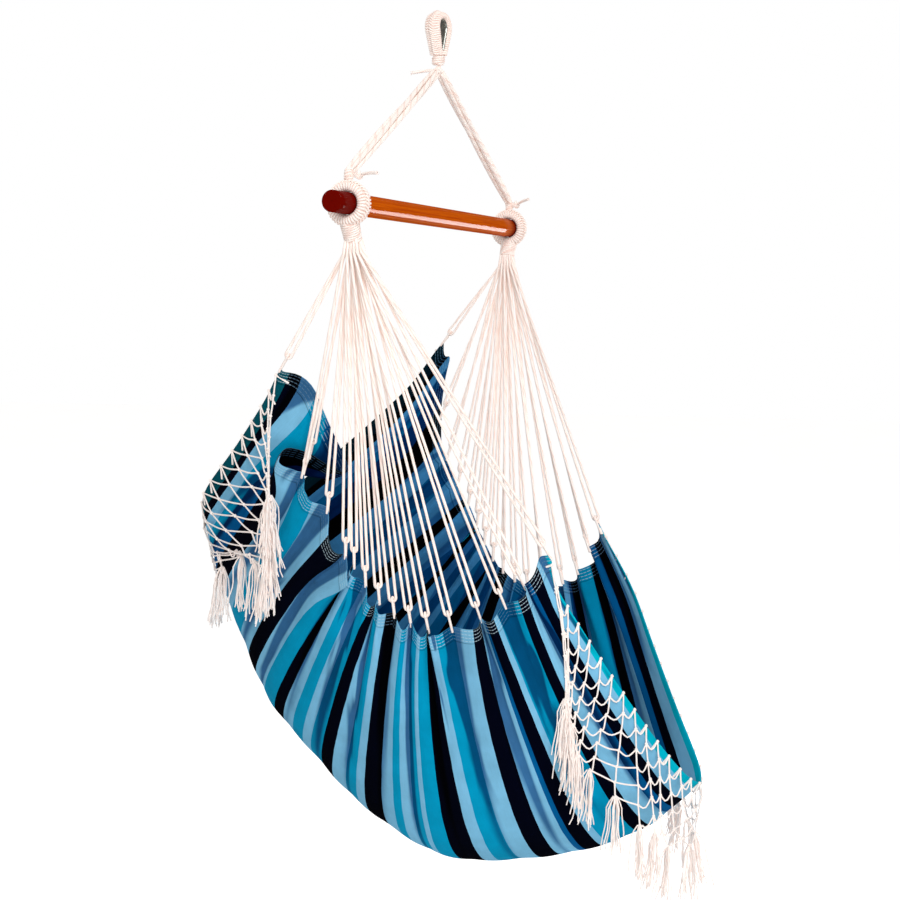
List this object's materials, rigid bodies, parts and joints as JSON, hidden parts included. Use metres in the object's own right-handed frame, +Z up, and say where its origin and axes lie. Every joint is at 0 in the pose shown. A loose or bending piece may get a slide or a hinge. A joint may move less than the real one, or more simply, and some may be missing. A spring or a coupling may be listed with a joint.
{
  "type": "hammock chair",
  "caption": "Hanging hammock chair: a striped cotton sling on fans of cord under a round wooden spreader bar, with a cord-wrapped hanging loop and net fringes.",
  "frame": {"origin": "where a hook bears on the inside of the thimble's crown, at the top of the hanging loop", "axes": "+Z up, +X along the spreader bar to the sitter's left, -Y the way the sitter faces"},
  "size_m": [0.785, 0.8584, 1.4055],
  "materials": {
    "cotton_cord": "matt twisted cotton",
    "steel": "satin",
    "varnished_wood": "gloss varnish",
    "striped_cotton": "matt woven cotton in blue and turquoise stripes",
    "fringe_cotton": "matt knotted cotton"
  },
  "bodies": {
    "loop": {"thimble": "steel", "hanging_loop": "cotton_cord"},
    "top_band": {"top_whipping": "cotton_cord"},
    "knot": {"leg_knot": "cotton_cord", "top_tail": "cotton_cord"},
    "yoke": {"left_leg_cord_1": "cotton_cord", "left_leg_cord_2": "cotton_cord", "left_leg_cord_3": "cotton_cord", "left_leg_cord_4": "cotton_cord", "right_leg_cord_1": "cotton_cord", "right_leg_cord_2": "cotton_cord", "right_leg_cord_3": "cotton_cord", "right_leg_cord_4": "cotton_cord", "left_ring": "cotton_cord", "left_ring_whipping": "cotton_cord", "left_ring_tail": "cotton_cord", "right_ring": "cotton_cord", "right_ring_whipping": "cotton_cord", "right_ring_tail": "cotton_cord"},
    "bar": {"spreader_bar": "varnished_wood"},
    "seat": {"left_neck": "cotton_cord", "right_neck": "cotton_cord", "left_fan_cord_01": "cotton_cord", "left_fan_cord_02": "cotton_cord", "left_fan_cord_03": "cotton_cord", "left_fan_cord_04": "cotton_cord", "left_fan_cord_05": "cotton_cord", "left_fan_cord_06": "cotton_cord", "left_fan_cord_07": "cotton_cord", "left_fan_cord_08": "cotton_cord", "left_fan_cord_09": "cotton_cord", "left_fan_cord_10": "cotton_cord", "left_fan_cord_11": "cotton_cord", "left_fan_cord_12": "cotton_cord", "left_fan_cord_13": "cotton_cord", "left_fan_cord_14": "cotton_cord", "left_fan_cord_15": "cotton_cord", "left_fan_cord_16": "cotton_cord", "right_fan_cord_01": "cotton_cord", "right_fan_cord_02": "cotton_cord", "right_fan_cord_03": "cotton_cord", "right_fan_cord_04": "cotton_cord", "right_fan_cord_05": "cotton_cord", "right_fan_cord_06": "cotton_cord", "right_fan_cord_07": "cotton_cord", "right_fan_cord_08": "cotton_cord", "right_fan_cord_09": "cotton_cord", "right_fan_cord_10": "cotton_cord", "right_fan_cord_11": "cotton_cord", "right_fan_cord_12": "cotton_cord", "right_fan_cord_13": "cotton_cord", "right_fan_cord_14": "cotton_cord", "right_fan_cord_15": "cotton_cord", "right_fan_cord_16": "cotton_cord", "left_hem_cord": "cotton_cord", "right_hem_cord": "cotton_cord", "seat_cloth": "striped_cotton", "front_fringe": "fringe_cotton", "back_fringe": "fringe_cotton"}
  },
  "joints": [
    {"name": "loop_turn", "type": "hinge", "parent": "loop", "child": "top_band", "pos_m": [0, 0, -0.0553], "axis": [0, 0, 1], "range_deg": [-90, 90]},
    {"name": "swing", "type": "hinge", "parent": "top_band", "child": "knot", "pos_m": [0, 0, -0.0791], "axis": [1, 0, 0], "range_deg": [-30, 30]},
    {"name": "sway", "type": "hinge", "parent": "knot", "child": "yoke", "pos_m": [0, 0, -0.0791], "axis": [0, 1, 0], "range_deg": [-15, 15]},
    {"name": "bar_roll", "type": "hinge", "parent": "yoke", "child": "bar", "pos_m": [0, 0, -0.317], "axis": [1, 0, 0], "continuous": true},
    {"name": "seat_swing", "type": "hinge", "parent": "yoke", "child": "seat", "pos_m": [0, 0, -0.317], "axis": [1, 0, 0], "range_deg": [-30, 30]}
  ]
}
